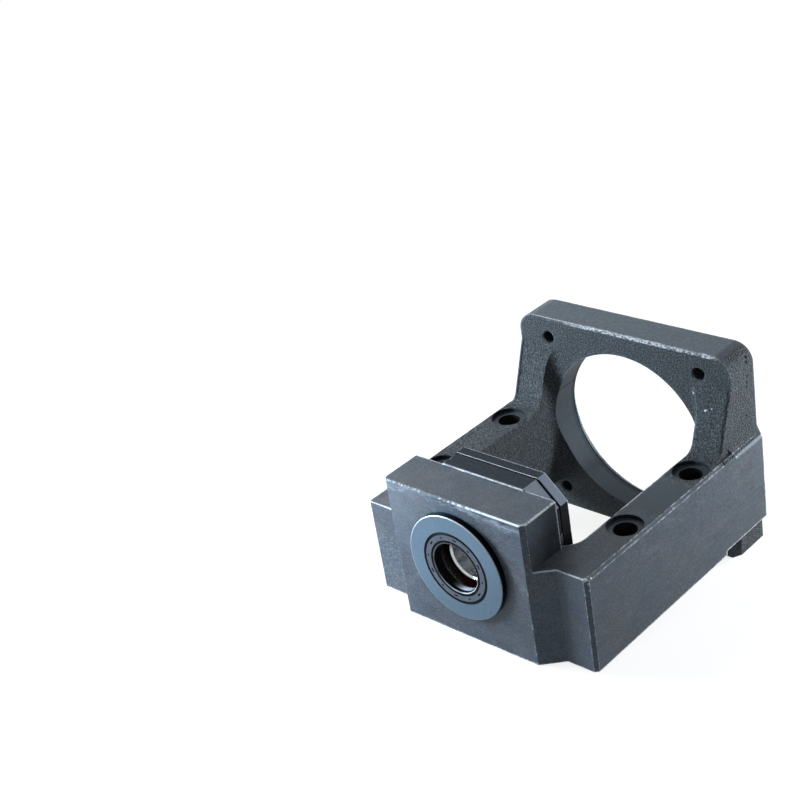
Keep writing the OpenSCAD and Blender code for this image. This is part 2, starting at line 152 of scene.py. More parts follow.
class Paint:
    """Builds one node material. Most methods return a socket that others take."""

    def __init__(self, name):
        self.material = bpy.data.materials.new(name)
        self.material.use_nodes = True
        self.tree = self.material.node_tree
        self.bsdf = self.tree.nodes["Principled BSDF"]
        self.coord = self.tree.nodes.new("ShaderNodeTexCoord")
        self.place = self.coord.outputs["Object"]
        split = self.tree.nodes.new("ShaderNodeSeparateXYZ")
        self.tree.links.new(self.place, split.inputs[0])
        self.x, self.y, self.z = split.outputs
        facing = self.tree.nodes.new("ShaderNodeSeparateXYZ")
        self.tree.links.new(self.coord.outputs["Normal"], facing.inputs[0])
        self.nx, self.ny, self.nz = facing.outputs

    def put(self, socket, value):
        if isinstance(value, bpy.types.NodeSocket):
            self.tree.links.new(value, socket)
        elif socket.type == "VECTOR":
            socket.default_value = value[:3]
        else:
            socket.default_value = value

    # Arithmetic on sockets and numbers

    def math(self, operation, *values):
        node = self.tree.nodes.new("ShaderNodeMath")
        node.operation = operation
        for socket, value in zip(node.inputs, values):
            self.put(socket, value)
        return node.outputs[0]

    def add(self, a, b):
        return self.math("ADD", a, b)

    def sub(self, a, b):
        return self.math("SUBTRACT", a, b)

    def mul(self, a, b):
        return self.math("MULTIPLY", a, b)

    def absolute(self, value):
        return self.math("ABSOLUTE", value)

    def scaled(self, value, low, high):
        """0..1 becomes low..high."""
        return self.add(self.mul(value, high - low), low)

    # Masks, from 0 to 1

    def both(self, *masks):
        out = masks[0]
        for mask in masks[1:]:
            out = self.mul(out, mask)
        return out

    def either(self, *masks):
        out = masks[0]
        for mask in masks[1:]:
            out = self.math("MAXIMUM", out, mask)
        return out

    def invert(self, mask):
        return self.sub(1.0, mask)

    def rise(self, value, low, high):
        """0 below low, 1 above high, and smooth between; the other way round if low is the larger."""
        node = self.tree.nodes.new("ShaderNodeMapRange")
        node.interpolation_type = "SMOOTHSTEP"
        self.put(node.inputs["Value"], value)
        if low <= high:
            ends = (low, high, 0.0, 1.0)
        else:
            ends = (high, low, 1.0, 0.0)
        for name, end in zip(("From Min", "From Max", "To Min", "To Max"), ends):
            node.inputs[name].default_value = end
        return node.outputs["Result"]

    def near(self, value, middle, reach):
        """1 at middle, falling to 0 at reach on both sides."""
        return self.rise(self.absolute(self.sub(value, middle)), reach, 0.0)

    def radius(self, a, b, a0=0.0, b0=0.0):
        da, db = self.sub(a, a0), self.sub(b, b0)
        return self.math("SQRT", self.add(self.mul(da, da), self.mul(db, db)))

    def at_line(self, a, b, a0, b0, reach, core):
        """1 within core of the straight line on which a is a0 and b is b0, and 0 beyond reach."""
        return self.rise(self.radius(a, b, a0, b0), reach, core)

    def faces_up(self):
        return self.rise(self.nz, 0.9, 0.97)

    def faces_front(self):
        return self.rise(self.ny, -0.9, -0.97)

    def faces_rear(self):
        return self.rise(self.ny, 0.9, 0.97)

    def faces_side(self):
        return self.rise(self.absolute(self.nx), 0.9, 0.97)

    def outer_edge(self, reach, samples=8):
        """Above 0 within reach of an outward edge, where rays sent into the solid soon meet its far side."""
        node = self.tree.nodes.new("ShaderNodeAmbientOcclusion")
        node.inside = True
        node.only_local = True
        node.samples = samples
        node.inputs["Distance"].default_value = reach
        return self.invert(node.outputs["AO"])

    def crevice(self, reach, samples=6):
        """Above 0 in corners and slots, where painted shade darkens them."""
        node = self.tree.nodes.new("ShaderNodeAmbientOcclusion")
        node.samples = samples
        node.inputs["Distance"].default_value = reach
        return self.invert(node.outputs["AO"])

    # Textures

    def stretched(self, scale, turn=None):
        """The place, turned and then scaled along each axis; a small scale makes long streaks."""
        place = self.place
        for name, value in (("Rotation", turn), ("Scale", scale)):
            if value is not None:
                node = self.tree.nodes.new("ShaderNodeMapping")
                node.inputs[name].default_value = value
                self.put(node.inputs["Vector"], place)
                place = node.outputs[0]
        return place

    def noise(self, size, detail=3.0, rough=0.5, stretch=None, turn=None, warp=0.0):
        """Noise with lumps of the given size. Most of its values lie between 0.35 and 0.65."""
        node = self.tree.nodes.new("ShaderNodeTexNoise")
        self.put(node.inputs["Vector"], self.stretched(stretch, turn))
        node.inputs["Scale"].default_value = 1 / size
        node.inputs["Detail"].default_value = detail
        node.inputs["Roughness"].default_value = rough
        node.inputs["Distortion"].default_value = warp
        return node.outputs[0]

    def wander(self, size, reach, detail=3):
        """A length that drifts between -reach and reach, to make a border uneven."""
        return self.scaled(self.noise(size, detail), -reach, reach)

    def specks(self, pitch, radius, share):
        """Round specks, one in each cell of the pitch whose random number is above share."""
        node = self.tree.nodes.new("ShaderNodeTexVoronoi")
        self.put(node.inputs["Vector"], self.place)
        node.inputs["Scale"].default_value = 1 / pitch
        chance = self.tree.nodes.new("ShaderNodeSeparateColor")
        self.tree.links.new(node.outputs["Color"], chance.inputs[0])
        near = self.rise(node.outputs["Distance"], radius / pitch, 0.4 * radius / pitch)
        return self.both(near, self.rise(chance.outputs[0], share, share + 0.02))

    def dots(self, places):
        """Ragged round dots, each given as x, y, z and radius in mm."""
        found = None
        for x, y, z, r in places:
            away = self.add(self.distance((x * MM, y * MM, z * MM)), self.wander(0.7 * MM, 0.4 * MM))
            dot = self.rise(away, 1.2 * r * MM, 0.7 * r * MM)
            found = dot if found is None else self.either(found, dot)
        return found

    def distance(self, point):
        node = self.tree.nodes.new("ShaderNodeVectorMath")
        node.operation = "DISTANCE"
        self.put(node.inputs[0], self.place)
        node.inputs[1].default_value = point
        return node.outputs["Value"]

    # Colours and normals

    def blend(self, share, low, high):
        """A colour between low and high."""
        node = self.tree.nodes.new("ShaderNodeMix")
        node.data_type = "RGBA"
        self.put(node.inputs["Factor"], share)
        a, b = [s for s in node.inputs if s.type == "RGBA"]
        self.put(a, low)
        self.put(b, high)
        return [s for s in node.outputs if s.type == "RGBA"][0]

    def shade(self, colour, gain):
        """The colour made darker or lighter by a gain socket."""
        node = self.tree.nodes.new("ShaderNodeVectorMath")
        node.operation = "SCALE"
        self.put(node.inputs[0], colour)
        self.put(node.inputs["Scale"], gain)
        return node.outputs[0]

    def rounded(self, radius, samples=6):
        """A normal that makes edges look rounded off."""
        node = self.tree.nodes.new("ShaderNodeBevel")
        node.samples = samples
        self.put(node.inputs["Radius"], radius)
        return node.outputs[0]

    def bump(self, height, depth, normal):
        node = self.tree.nodes.new("ShaderNodeBump")
        node.inputs["Distance"].default_value = depth
        self.put(node.inputs["Height"], height)
        self.put(node.inputs["Normal"], normal)
        return node.outputs[0]

    def finish(self, colour, roughness, normal, metallic=0.0, specular=0.5, tint=(1, 1, 1, 1)):
        self.put(self.bsdf.inputs["Base Color"], colour)
        self.put(self.bsdf.inputs["Roughness"], roughness)
        self.put(self.bsdf.inputs["Metallic"], metallic)
        self.put(self.bsdf.inputs["Normal"], normal)
        self.bsdf.inputs["Specular IOR Level"].default_value = specular
        self.bsdf.inputs["Specular Tint"].default_value = tint
        return self.material


def dress(material, *nodes):
    for node in nodes:
        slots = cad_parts[node].data.materials
        slots.clear()
        slots.append(material)


# ------------------------------------------- bracket: where each finish lies

def on_rail_top(p):
    return p.both(p.faces_up(), p.near(p.z, RAIL_Z, 0.3 * MM))


def on_rail_side(p):
    return p.both(p.faces_side(), p.rise(p.absolute(p.x), RAIL_OUT_X - 1 * MM, RAIL_OUT_X - 0.2 * MM))


def on_nose(p):
    return p.both(p.faces_front(), p.rise(p.y, NOSE_Y + 0.3 * MM, NOSE_Y + 0.1 * MM))


def on_block_side(p):
    return p.both(
        p.faces_side(), p.near(p.absolute(p.x), BLOCK_X, 0.4 * MM), p.rise(p.z, RAIL_Z - 0.5 * MM, RAIL_Z))


def on_plate_top(p):
    return p.both(p.faces_up(), p.near(p.z, PLATE_TOP_Z, 0.3 * MM))


def on_boss(p):
    return p.both(
        p.rise(p.y, BLOCK_BACK_Y, BLOCK_BACK_Y + 0.3 * MM), p.rise(p.y, COVER_Y + 0.2 * MM, COVER_Y),
        p.rise(p.z, RAIL_Z, RAIL_Z + 1 * MM))


def on_window_wall(p):
    return p.both(
        p.rise(p.radius(p.x, p.z), WINDOW_R + 0.5 * MM, WINDOW_R + 0.2 * MM),
        p.rise(p.y, WINDOW_Y - 0.5 * MM, WINDOW_Y), p.rise(p.absolute(p.ny), 0.6, 0.4))


def in_pilot(p):
    """The recess in the motor plate's rear."""
    return p.both(
        p.rise(p.y, PILOT_Y - 0.4 * MM, PILOT_Y - 0.2 * MM),
        p.rise(p.radius(p.x, p.z), PILOT_REACH + 2 * MM, PILOT_REACH))


def in_motor_holes(p):
    """The walls of the four tapped holes, behind their front rims."""
    off_axis = p.radius(p.absolute(p.x), p.absolute(p.z), MOTOR_HOLE, MOTOR_HOLE)
    return p.both(
        p.rise(off_axis, MOTOR_HOLE_R + 0.4 * MM, MOTOR_HOLE_R),
        p.rise(p.y, PLATE_Y + 0.3 * MM, PLATE_Y + 1 * MM), p.rise(p.absolute(p.ny), 0.95, 0.8))


def on_ground_patch(p):
    """The patch between the two holes of the right rail, dressed with a grinder."""
    along = p.add(p.y, p.wander(6 * MM, 2.5 * MM))
    return p.both(
        on_rail_top(p), p.rise(along, GROUND_FROM_Y - 5 * MM, GROUND_FROM_Y),
        p.rise(along, GROUND_TO_Y + 5 * MM, GROUND_TO_Y), p.rise(p.x, 0.0, 1 * MM))


def on_plate_and_webs(p):
    """All behind the webs' foot, but for the plate's top, its rear and the rails' milled sides."""
    chamfer_x = RAIL_OUT_X - RAIL_CHAMFER
    top_face = p.both(p.rise(p.nz, 0.75, 0.93), p.rise(p.z, PLATE_TOP_Z - 2 * MM, PLATE_TOP_Z - 1 * MM))
    beside_web = p.both(
        p.rise(p.y, WEB_SIDE_Y - 1 * MM, WEB_SIDE_Y), p.rise(p.z, RAIL_Z - 1.8 * MM, RAIL_Z - 1.2 * MM))
    inside_or_above = p.either(
        p.rise(p.absolute(p.x), chamfer_x, chamfer_x - 0.2 * MM),
        p.rise(p.z, RAIL_Z, RAIL_Z + 0.2 * MM), beside_web)
    return p.both(
        p.rise(p.y, WEB_Y - 1 * MM, WEB_Y), p.rise(p.ny, 0.5, 0.4), p.invert(top_face), inside_or_above)


def on_bay_walls(p):
    """The rails' inner walls, behind the block."""
    return p.both(
        p.faces_side(), p.rise(p.absolute(p.x), RAIL_IN_X + 1 * MM, RAIL_IN_X + 0.5 * MM),
        p.rise(p.z, RAIL_Z + 0.5 * MM, RAIL_Z), p.rise(p.y, BLOCK_BACK_Y, BLOCK_BACK_Y + 3 * MM))


def on_cast_rail_tops(p):
    """The rear of the rail tops, where the right rail is milled further back than the left one."""
    later = p.mul(p.rise(p.x, -1 * MM, 1 * MM), RIGHT_LATER)
    along = p.sub(p.add(p.y, p.wander(9 * MM, 4 * MM)), later)
    return p.both(on_rail_top(p), p.rise(along, RAIL_SKIN_FROM, RAIL_SKIN_FULL))


def on_cast_skin(p, window, ground_patch):
    """The skin that the foundry left."""
    return p.both(
        p.either(on_plate_and_webs(p), on_bay_walls(p), on_cast_rail_tops(p)),
        p.invert(window), p.invert(ground_patch), p.invert(in_pilot(p)))


def off_bolts(p):
    """The distance from the nearest axis of a base bolt."""
    front, rear = (p.radius(p.absolute(p.x), p.y, BOLT_X, y) for y in BOLT_YS)
    return p.math("MINIMUM", front, rear)


class Zones:
    """Masks of the bracket's finishes and of where no edge wear goes, and the distance from the bolts."""

    def __init__(self, p):
        self.window = on_window_wall(p)
        self.ground_patch = on_ground_patch(p)
        self.plate_top = on_plate_top(p)
        self.boss = on_boss(p)
        self.cast = on_cast_skin(p, self.window, self.ground_patch)
        self.off_bolt = off_bolts(p)
        round_spots = p.rise(self.off_bolt, SPOT_R + 1.6 * MM, SPOT_R + 1.2 * MM)
        boss_rear = p.both(self.boss, p.rise(p.y, BOSS_SPARED_Y - 0.5 * MM, BOSS_SPARED_Y))
        self.spared = p.either(self.window, round_spots, boss_rear)


# ----------------------------------------------------- bracket: its surfaces

def cast_skin(p):
    """Orange-peel skin of the sand mould: its height and its colour."""
    pebble = p.noise(1.0 * MM, 2, 0.5)
    grit = p.noise(0.5 * MM, 3, 0.6)
    height = p.add(p.mul(pebble, 0.8), p.mul(grit, 0.2))
    blotches = p.noise(11 * MM, 4, 0.6)
    colour = p.blend(p.rise(height, 0.32, 0.55), CAST_LOW, CAST)
    colour = p.blend(p.rise(height, 0.5, 0.7), colour, CAST_HIGH)
    return height, p.shade(colour, p.scaled(blotches, 0.75, 1.25))


def machined_skin(p):
    """Milled and blackened faces, nearly even: two of their textures and their colour."""
    clouds = p.noise(30 * MM, 4, 0.6)
    wide_blotches = p.noise(22 * MM, 3, 0.55, warp=0.8)
    blotches = p.noise(9 * MM, 4, 0.65, warp=0.6)
    mottle = p.noise(4 * MM, 5, 0.65)
    fine = p.noise(1.15 * MM, 4, 0.75)
    brushed = p.noise(1.3 * MM, 3, 0.6, stretch=(0.2, 0.08, 1))
    tone = p.add(p.scaled(blotches, 0.66, 1.34), p.scaled(mottle, -0.2, 0.2))
    tone = p.mul(tone, p.scaled(wide_blotches, 0.78, 1.22))
    tone = p.add(tone, p.add(p.scaled(fine, -1.4, 1.4), p.scaled(brushed, -0.3, 0.3)))
    colour = p.shade(p.blend(p.rise(clouds, 0.35, 0.65), MACHINED, MACHINED_WARM), tone)
    specks = p.specks(2.1 * MM, 0.5 * MM, 0.8)
    return mottle, fine, p.blend(p.mul(specks, 0.55), colour, SPECK)


def plate_top_skin(p, colour, plate_top, fine):
    """The flat top of the plate: once milled, now blotched and finely pitted."""
    pits = p.noise(2.2 * MM, 4, 0.7, stretch=(0.5, 1, 1))
    tone = p.add(p.scaled(pits, 0.5, 1.5), p.scaled(fine, -0.8, 0.8))
    return p.blend(plate_top, colour, p.shade(PLATE_TOP, tone))


def window_skin(p, colour, window, fine):
    """The window's wall: turned, with a darker band at its rear."""
    wall = p.shade(BORE_WALL, p.scaled(fine, 0.75, 1.25))
    ragged = p.add(p.y, p.scaled(fine, -0.6 * MM, 0.6 * MM))
    wall = p.blend(p.rise(ragged, BAND_Y - 0.6 * MM, BAND_Y), wall, BORE_BAND)
    return p.blend(window, colour, wall)


def on_bevel(p, up):
    """The slanted corners of boss and cover."""
    return p.both(p.rise(up, 0.4, 0.5), p.rise(up, 0.92, 0.85))


def left_and_right(p, left, right):
    """One colour on the left of the axis and another on the right."""
    return p.blend(p.rise(p.x, -5 * MM, 5 * MM), left, right)


def boss_skin(p, colour, boss, fine):
    """The octagonal boss behind the block: coarse and dark on top, its sides black with painted shade, its
    bevels with a painted highlight on the right and painted shade on the left.
    """
    top = p.shade(BOSS_TOP, p.scaled(p.noise(1.1 * MM, 3, 0.7), -0.2, 2.2))
    # Painted shade: the boss's sides black
    side = p.shade(BOSS_SIDE_SHADE, p.scaled(fine, 0.7, 1.3))
    dressed = p.blend(p.rise(p.nz, 0.4, 0.5), side, top)
    dressed = p.blend(on_bevel(p, p.nz), dressed, left_and_right(p, LEFT_BEVEL_SHADE, BOSS_BEVEL_HIGHLIGHT))
    return p.blend(boss, colour, dressed)


def spot_skin(p, colour, off_bolt, fine):
    """Counterbores of the base bolts: grey floor, and wall and hole darkened with painted shade."""
    inside = p.both(
        p.rise(off_bolt, SPOT_R + 0.4 * MM, SPOT_R + 0.1 * MM),
        p.rise(p.z, RAIL_Z - 0.1 * MM, RAIL_Z - 0.4 * MM))
    # Painted shade on the wall and in the hole
    wall = p.shade(SPOT_WALL_SHADE, p.scaled(fine, 0.6, 1.4))
    floor = p.shade(SPOT_FLOOR, p.scaled(fine, 0.7, 1.3))
    return p.blend(inside, colour, p.blend(p.rise(p.nz, 0.8, 0.95), wall, floor))


# ------------------------------------------- bracket: painted shade, black holes, pale patches and grit

def painted_shade_in_front(p, colour):
    """Painted shade: the nose darker toward its lower right, and the tops in front a little darker too."""
    lower_right = p.both(p.rise(p.z, 0, -42 * MM), p.rise(p.x, -45 * MM, 0))
    tops = p.both(p.faces_up(), p.rise(p.y, 60 * MM, 50 * MM))
    return p.shade(colour, p.sub(1.0, p.add(p.mul(p.mul(on_nose(p), lower_right), 0.2), p.mul(tops, 0.12))))


def block_side_shade_fade(p):
    """Where the painted shade on the bearing block's sides is deepest: at the rear and the bottom."""
    fade = p.add(p.rise(p.y, -6 * MM, BLOCK_BACK_Y), p.mul(p.rise(p.z, 34 * MM, 10 * MM), 0.5))
    return p.mul(on_block_side(p), p.math("MINIMUM", fade, 1.0))


def block_side_painted_shade(p, colour):
    """Painted shade on the sides of the bearing block, darker than its front. The step between block and boss
    is darkened too.
    """
    step = p.both(
        p.near(p.y, BLOCK_BACK_Y, 0.3 * MM), p.rise(p.ny, -0.8, -0.95),
        p.rise(p.z, BLOCK_Z - 0.2 * MM, BLOCK_Z + 0.1 * MM))
    sides = p.add(p.mul(on_block_side(p), 0.48), p.mul(block_side_shade_fade(p), 0.3))
    return p.shade(colour, p.sub(1.0, p.either(sides, p.mul(step, 0.6))))


def rail_side_painted_shade(p, colour):
    """Painted shade: the rails' outer sides darker toward the front and the bottom, and their long chamfers
    darker toward the rear.
    """
    fade = p.add(p.mul(p.rise(p.y, 70 * MM, 0), 0.14), p.mul(p.rise(p.z, 0, -45 * MM), 0.14))
    chamfer = p.both(p.near(p.nz, 0.7, 0.15), p.near(p.absolute(p.nx), 0.7, 0.15))
    # Painted shade on the long chamfers, toward the rear
    dull = p.mul(chamfer, p.rise(p.y, 60 * MM, 110 * MM))
    return p.shade(colour, p.sub(1.0, p.add(p.mul(on_rail_side(p), fade), p.mul(dull, 0.5))))


def rail_side_patches(p, colour):
    """Pale patches high on the rails' outer sides."""
    patches = p.rise(p.noise(5 * MM, 4, 0.65, stretch=(1, 0.4, 1), turn=(0.5, 0, 0)), 0.52, 0.7)
    high = p.rise(p.z, -12 * MM, 4 * MM)
    return p.blend(p.mul(p.both(on_rail_side(p), patches, high), 0.35), colour, SPECK)


def left_rail_grit(p):
    """The left rail's front end was never cleaned up below its middle."""
    beside_nose = p.rise(p.x, -BLOCK_X - 4 * MM, -BLOCK_X - 6 * MM)
    on_end = p.both(p.faces_front(), beside_nose, p.rise(p.y, 2 * MM, 1 * MM))
    low = p.rise(p.add(p.z, p.wander(8 * MM, 8 * MM)), -2 * MM, -12 * MM)
    return p.mul(p.both(on_end, low), p.mul(p.rise(p.noise(1.3 * MM, 3, 0.6), 0.48, 0.66), 0.35))


def web_edge_shade(p):
    """Painted shade: a dark line that runs down the outer edge of each web's sloped front."""
    outward = p.add(p.absolute(p.x), p.wander(5 * MM, 1 * MM))
    return p.both(
        p.near(outward, PLATE_X - 1.4 * MM, 1.7 * MM), p.rise(p.ny, -0.5, -0.7),
        p.rise(p.y, WEB_Y - 1 * MM, WEB_Y + 1 * MM), p.rise(p.z, RAIL_Z + 1 * MM, RAIL_Z + 4 * MM),
        p.rise(p.z, WEB_SHADE_TOP_Z + 10 * MM, WEB_SHADE_TOP_Z))


def black_shade_and_holes(p, window):
    """Where painted shade makes corners, the block's sides, the webs' outer edges, the window's rear lip and
    the tapped holes black, and where the blow holes are black.
    """
    # Painted shade in corners and slots
    crevice_shade = p.rise(p.crevice(7 * MM), 0.45, 0.9)
    window_lip = p.both(window, p.rise(p.y, PILOT_Y - 1.2 * MM, PILOT_Y - 0.6 * MM))
    return p.either(
        p.mul(crevice_shade, 0.75), p.dots(PITS), p.mul(web_edge_shade(p), 0.8), window_lip,
        p.mul(block_side_shade_fade(p), 0.5), p.mul(in_motor_holes(p), 0.85))


# ------------------------------------------------- bracket: wear, handling and a painted sheen

def rub_marks_and_sheen(p):
    """Whitish smears that handling left on the nose, under its upper edge and at its left, and a painted
    sheen that lightens it toward the upper left.
    """
    depth = p.add(p.sub(BLOCK_Z, p.z), p.wander(14 * MM, 6 * MM, 2))
    under_edge = p.both(p.rise(depth, 0.3 * MM, 1.5 * MM), p.rise(depth, 6.5 * MM, 2.5 * MM))
    smear = p.rise(p.noise(3.2 * MM, 6, 0.72, stretch=(0.3, 1, 1), warp=0.6), 0.36, 0.74)
    faint = p.mul(p.rise(p.noise(16 * MM, 5, 0.65, warp=0.5), 0.52, 0.75), 0.22)
    flecks = p.mul(p.rise(p.noise(1.8 * MM, 5, 0.75), 0.63, 0.72), 0.8)
    at_left = p.both(p.near(p.x, -40 * MM, 9 * MM), p.near(p.z, 4 * MM, 26 * MM))
    # Painted sheen: the nose lighter toward its upper left
    painted_sheen = p.mul(p.both(p.rise(p.x, 20 * MM, -45 * MM), p.rise(p.z, -25 * MM, 35 * MM)), 0.2)
    marks = p.either(p.mul(under_edge, smear), p.add(faint, painted_sheen), p.mul(flecks, at_left))
    return p.mul(on_nose(p), marks)


def scratches(p):
    """Fine scratches on the outer side of the rails, near the rear top."""
    area = p.both(p.rise(p.y, 90 * MM, 125 * MM), p.rise(p.z, -20 * MM, -8 * MM))
    steep = p.noise(0.5 * MM, 2, 0.5, stretch=(1, 0.03, 1), turn=(0.5, 0, 0))
    flat = p.noise(0.6 * MM, 2, 0.5, stretch=(1, 0.02, 1), turn=(-0.15, 0, 0))
    lines = p.either(p.rise(steep, 0.72, 0.8), p.rise(flat, 0.72, 0.8))
    return p.mul(p.both(on_rail_side(p), area, lines), 0.5)


def edge_borders(p):
    """Thin light lines on both borders of the rails' long and upright chamfers."""
    ax, reach, core = p.absolute(p.x), 0.36 * MM, 0.18 * MM
    along = p.either(
        p.at_line(ax, p.z, RAIL_OUT_X, RAIL_Z - RAIL_CHAMFER, reach, core),
        p.at_line(ax, p.z, RAIL_OUT_X - RAIL_CHAMFER, RAIL_Z, reach, core))
    upright = p.either(
        p.at_line(ax, p.y, RAIL_OUT_X, CORNER_CHAMFER, reach, core),
        p.at_line(ax, p.y, RAIL_OUT_X - CORNER_CHAMFER, 0, reach, core))
    broken = p.scaled(p.rise(p.noise(2.5 * MM, 4, 0.7), 0.42, 0.66), 0.06, 0.6)
    stronger_above = p.mul(p.rise(p.z, -8 * MM, 8 * MM), p.mul(p.rise(broken, 0.2, 0.5), 0.8))
    return p.mul(p.either(along, upright), p.either(broken, stronger_above))


def worn_edges(p, cast, runs, teeth):
    """Bright metal on all outward edges, fainter on the cast skin, and a wider dull band beside it."""
    uneven = p.add(p.scaled(runs, -0.45, 0.45), p.scaled(teeth, -0.45, 0.45))
    jagged = p.add(teeth, p.mul(runs, 0.6))
    thin, wide = p.outer_edge(1.1 * MM), p.outer_edge(4 * MM)
    chips = p.both(p.rise(p.add(thin, uneven), 0.22, 0.34), p.rise(thin, 0.08, 0.16))
    line = p.mul(p.rise(thin, 0.13, 0.24), p.scaled(p.rise(jagged, 0.66, 0.95), 0.1, 0.95))
    bright = p.mul(p.either(chips, line), p.scaled(cast, 1.0, 0.12))
    dull = p.mul(p.both(p.rise(p.add(wide, uneven), 0.2, 0.7), p.rise(wide, 0.04, 0.15)), 0.3)
    return bright, dull


def knocked_edges(p, runs, teeth):
    """The block's upper edges in front and at the right, and the rails' upper edges, knocked in places."""
    knocked = p.add(p.add(teeth, p.mul(runs, 0.6)), p.mul(p.rise(p.x, -15 * MM, 45 * MM), 0.34))
    toward_nose = p.mul(p.rise(p.y, 10 * MM, NOSE_Y), 0.12)
    nose_edge = p.both(
        p.at_line(p.y, p.z, NOSE_Y, BLOCK_Z - 0.3 * MM, 0.9 * MM, 0.45 * MM), p.rise(knocked, 0.82, 0.96))
    side_edge = p.both(
        p.at_line(p.x, p.z, BLOCK_X, BLOCK_Z, 1.1 * MM, 0.5 * MM),
        p.rise(p.add(knocked, toward_nose), 1.04, 1.16))
    rail_edge = p.both(
        p.at_line(p.absolute(p.x), p.z, RAIL_OUT_X - 0.4 * MM, RAIL_Z - 0.9 * MM, 0.8 * MM, 0.4 * MM),
        p.rise(p.noise(2.2 * MM, 4, 0.7, stretch=(1, 0.25, 1)), 0.6, 0.7), p.rise(runs, 0.46, 0.56))
    return p.either(nose_edge, side_edge, rail_edge)


def plate_edge_sparkle(p, runs):
    """The rounded upper front edge of the motor plate, rubbed most from its middle to the right."""
    at_edge = p.both(
        p.at_line(p.y, p.z, PLATE_Y, PLATE_TOP_Z, 2.1 * MM, 1.0 * MM),
        p.rise(p.add(p.x, p.wander(12 * MM, 20 * MM, 2)), -55 * MM, -10 * MM))
    grains = p.add(p.noise(1.2 * MM, 3, 0.7, stretch=(0.6, 1, 1)), p.scaled(runs, -0.2, 0.2))
    return p.mul(at_edge, p.scaled(p.rise(grains, 0.47, 0.58), 0.12, 1.0))


def worn_colour(p, zones, colour):
    """The colour with all marks of wear and handling, and the painted sheen on the nose."""
    runs, teeth = p.noise(8 * MM, 3, 0.6), p.noise(1.4 * MM, 4, 0.75)
    bright, dull = worn_edges(p, zones.cast, runs, teeth)
    unspared = p.invert(zones.spared)
    colour = p.blend(rub_marks_and_sheen(p), colour, RUB_AND_SHEEN)
    colour = p.blend(scratches(p), colour, RUB_AND_SHEEN)
    colour = p.blend(p.mul(dull, unspared), colour, SPECK)
    colour = p.blend(edge_borders(p), colour, BARE_EDGE)
    bare = p.either(
        p.mul(bright, unspared), knocked_edges(p, runs, teeth), plate_edge_sparkle(p, runs), p.dots(CHIPS))
    return p.blend(bare, colour, BARE_EDGE)


# ------------------------------------------------------- bracket: the whole

def bracket_colour(p, zones, colour, cast_colour, fine):
    """Every finish laid over the milled one, then the painted shade and the gritty places."""
    colour = p.blend(zones.ground_patch, colour, p.shade(GROUND_PATCH, p.scaled(fine, 0.85, 1.15)))
    colour = window_skin(p, colour, zones.window, fine)
    colour = p.blend(zones.cast, colour, cast_colour)
    colour = plate_top_skin(p, colour, zones.plate_top, fine)
    colour = boss_skin(p, colour, zones.boss, fine)
    colour = block_side_painted_shade(p, painted_shade_in_front(p, colour))
    colour = rail_side_patches(p, rail_side_painted_shade(p, colour))
    colour = p.blend(left_rail_grit(p), colour, RUB_AND_SHEEN)
    return spot_skin(p, colour, zones.off_bolt, fine)


def bracket_normal(p, zones, skin, mottle, fine):
    """Pebbled and well rounded where cast, and nearly flat with crisp edges where milled."""
    pebbles = p.mul(skin, p.add(p.scaled(zones.cast, 0.02, 1.7), p.mul(zones.plate_top, 0.25)))
    height = p.add(pebbles, p.add(p.mul(mottle, 0.03), p.mul(fine, 0.05)))
    at_plate_edge = p.at_line(p.y, p.z, PLATE_Y, PLATE_TOP_Z, 4 * MM, 2 * MM)
    soft = p.rounded(p.scaled(p.either(zones.cast, at_plate_edge), 0.35 * MM, 2.2 * MM))
    return p.bump(height, 1.1 * MM, soft)


def bracket_roughness(p, zones, mottle):
    rough = p.add(p.scaled(zones.cast, 0.42, 0.6), p.scaled(mottle, -0.08, 0.08))
    return p.add(rough, p.add(p.mul(zones.boss, 0.45), p.mul(zones.window, 0.25)))


def bracket_material():
    p = Paint("cast_iron_blackened")
    zones = Zones(p)
    skin, cast_colour = cast_skin(p)
    mottle, fine, colour = machined_skin(p)
    colour = bracket_colour(p, zones, colour, cast_colour, fine)
    colour = worn_colour(p, zones, colour)
    # Painted shade in corners, on the block's sides, along the webs and in the holes, and the blow holes, all
    # black
    black = black_shade_and_holes(p, zones.window)
    # Black counts as metal, because the gloss of anything else would show the white room in it
    return p.finish(
        p.blend(black, colour, SHADE_BLACK), bracket_roughness(p, zones, mottle),
        bracket_normal(p, zones, skin, mottle, fine), metallic=black, specular=0.3, tint=BLUED)


# -------------------------------------------------------------- other pieces

def cover_material():
    """Black-oxided steel, coarse on its flat top, its sides black with painted shade, its bevels with a
    painted highlight on the right and painted shade on the left, and worn edges.
    """
    p = Paint("black_steel_cover")
    grain = p.noise(1.1 * MM, 3, 0.7)
    up = p.absolute(p.nz)
    colour = p.shade(p.blend(p.rise(up, 0.4, 0.5), BOSS_SIDE_SHADE, BOSS_TOP), p.scaled(grain, 0.0, 2.4))
    colour = p.blend(p.faces_rear(), colour, p.shade(COVER_BACK, p.scaled(grain, 0.7, 1.3)))
    # Painted highlight on the right bevels, painted shade on the left ones
    painted_bevel_light = p.shade(left_and_right(p, LEFT_BEVEL_SHADE, COVER_BEVEL_HIGHLIGHT), p.scaled(grain, 0.8, 1.2))
    colour = cover_edges(p, p.blend(on_bevel(p, up), colour, painted_bevel_light))
    normal = p.bump(grain, 0.15 * MM, p.rounded(0.25 * MM))
    return p.finish(colour, p.scaled(grain, 0.6, 0.9), normal, specular=0.15, tint=BLUED)


